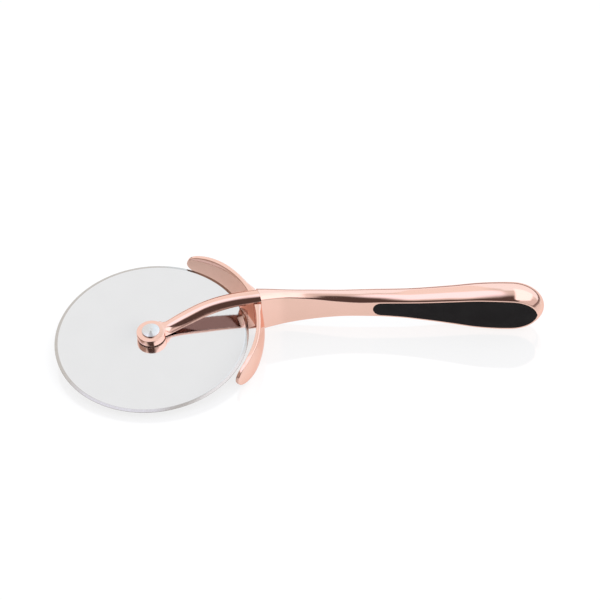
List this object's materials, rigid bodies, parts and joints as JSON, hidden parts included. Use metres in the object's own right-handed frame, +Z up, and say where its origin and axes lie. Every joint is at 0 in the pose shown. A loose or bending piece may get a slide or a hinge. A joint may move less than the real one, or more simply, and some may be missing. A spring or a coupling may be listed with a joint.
{
  "type": "pizza cutter",
  "caption": "Pizza cutter with a free-turning cutting wheel in a two-armed fork, a crescent finger guard and an arched plated grip with dark soft inlays.",
  "frame": {"origin": "centre of the footprint of the lying tool, on the table", "axes": "+X along the tool from the wheel towards the end of the grip, +Y away from the viewer, +Z up from the table"},
  "size_m": [0.2503, 0.0996, 0.0266],
  "materials": {
    "wheel_steel": "fine satin, nearly mirror",
    "rivet_steel": "spun satin",
    "plated_body": "polished rose gold plating over zinc alloy",
    "soft_inlay": "matte soft-touch moulding",
    "washer_nylon": "natural nylon",
    "bush_brass": "turned",
    "pin_steel": "ground"
  },
  "bodies": {
    "holder": {"fork_head": "plated_body", "guard": "plated_body", "handle": "plated_body", "front_inlay": "soft_inlay", "back_inlay": "soft_inlay", "tang_pin": "pin_steel", "axle_rivet": "rivet_steel", "rivet_cap": "rivet_steel", "axle_bush": "bush_brass", "upper_washer": "washer_nylon", "lower_washer": "washer_nylon"},
    "wheel": {"blade": "wheel_steel"}
  },
  "joints": [
    {"name": "blade_spin", "type": "hinge", "parent": "holder", "child": "wheel", "pos_m": [-0.07563, -0.00106, 0.0094], "axis": [-0.0203, -0.1208, 0.9925], "continuous": true}
  ]
}
